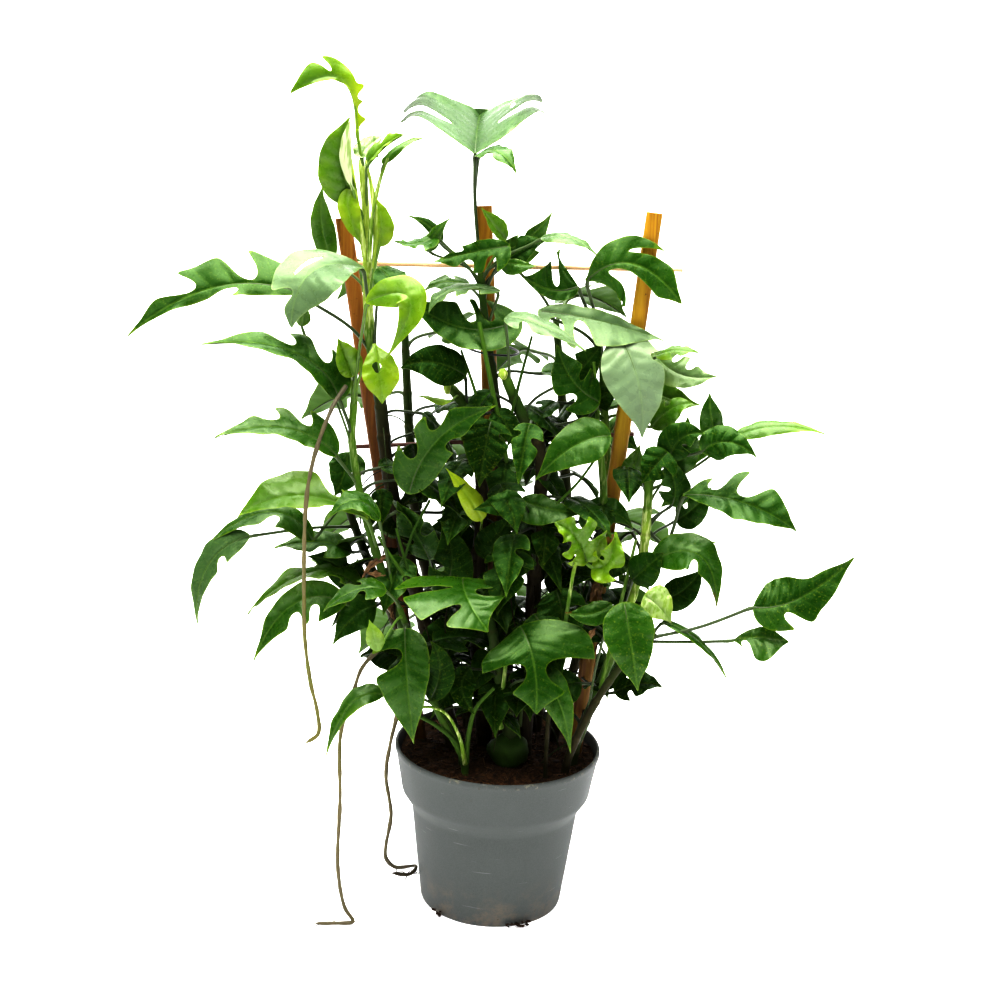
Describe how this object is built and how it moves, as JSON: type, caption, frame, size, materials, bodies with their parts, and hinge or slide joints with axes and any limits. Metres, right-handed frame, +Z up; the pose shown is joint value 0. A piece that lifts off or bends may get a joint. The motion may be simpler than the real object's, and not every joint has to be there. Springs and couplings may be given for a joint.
{
  "type": "potted mini monstera",
  "caption": "Climbing aroid house plant with deeply cut leaves, tied to a fan of flat bamboo stakes in a plain round nursery pot.",
  "frame": {"origin": "centre of the underside of the pot, on the surface that the pot stands on", "axes": "+Z up along the pot's axis, -Y towards the viewer of the plant's front, +X to that viewer's right"},
  "size_m": [0.5681, 0.2447, 0.6872],
  "materials": {
    "pot_plastic": "satin",
    "soil_mix": "matte",
    "bamboo": "satin",
    "stick_wood": "matte",
    "tie_plastic": "satin",
    "foliage": "satin",
    "foliage_young": "satin",
    "root_bark": "matte"
  },
  "bodies": {
    "root": {"pot": "pot_plastic", "soil": "soil_mix", "stake_left": "bamboo", "stake_middle": "bamboo", "stake_right": "bamboo", "stick_upper": "stick_wood", "stick_lower": "stick_wood", "wire_tie": "tie_plastic", "vine_left_tall": "foliage", "vine_left_green": "foliage", "vine_left_low": "foliage", "vine_front_left": "foliage", "vine_centre_left": "foliage", "vine_centre_tall": "foliage", "vine_centre_right": "foliage", "vine_right": "foliage", "vine_far_right": "foliage", "vine_front_right": "foliage", "vine_front_centre": "foliage", "young_leaf_centre": "foliage_young", "vine_back_left": "foliage", "vine_back_right": "foliage", "aerial_root_long": "root_bark", "aerial_root_front": "root_bark", "aerial_root_side": "root_bark"}
  },
  "joints": []
}
